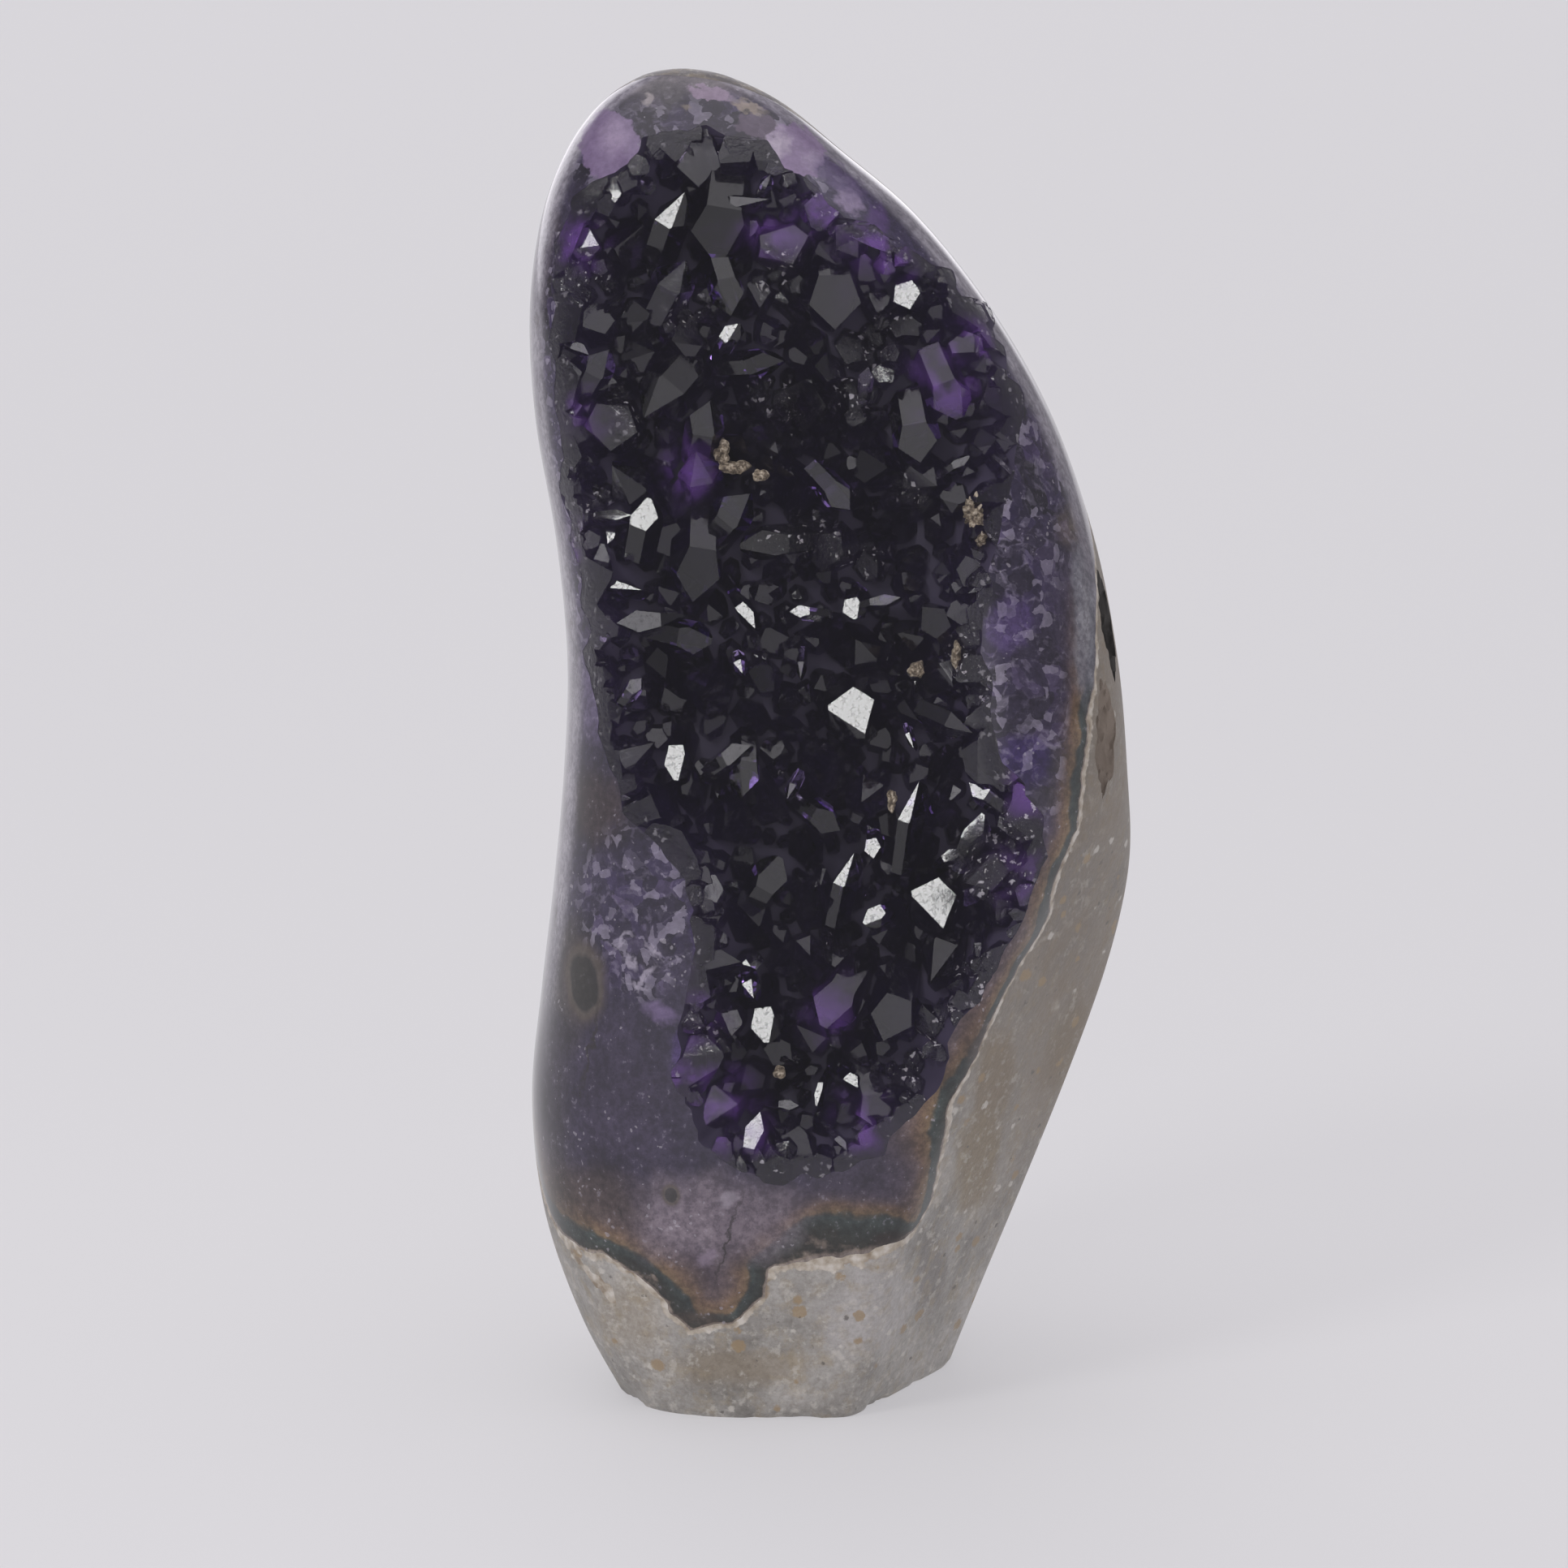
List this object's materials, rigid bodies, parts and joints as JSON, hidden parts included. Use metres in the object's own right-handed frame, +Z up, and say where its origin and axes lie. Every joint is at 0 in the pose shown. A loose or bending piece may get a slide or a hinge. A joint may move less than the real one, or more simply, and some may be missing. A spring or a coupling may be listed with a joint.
{
  "type": "cut base amethyst cluster",
  "caption": "Upright kidney-shaped piece of geode wall with a sawn flat base: basalt behind, a polished agate rim, and dark amethyst crystals in a shallow hollow.",
  "frame": {"origin": "middle of the sawn flat base", "axes": "+Z up along the height, the crystal face towards -Y, +X to the viewer's right"},
  "size_m": [0.0908, 0.0779, 0.2],
  "materials": {
    "basalt": "satin",
    "agate": "polished",
    "amethyst": "polished"
  },
  "bodies": {
    "root": {"basalt_matrix": "basalt", "agate_and_massive_amethyst": "agate", "amethyst_crystals": "amethyst"}
  },
  "joints": []
}
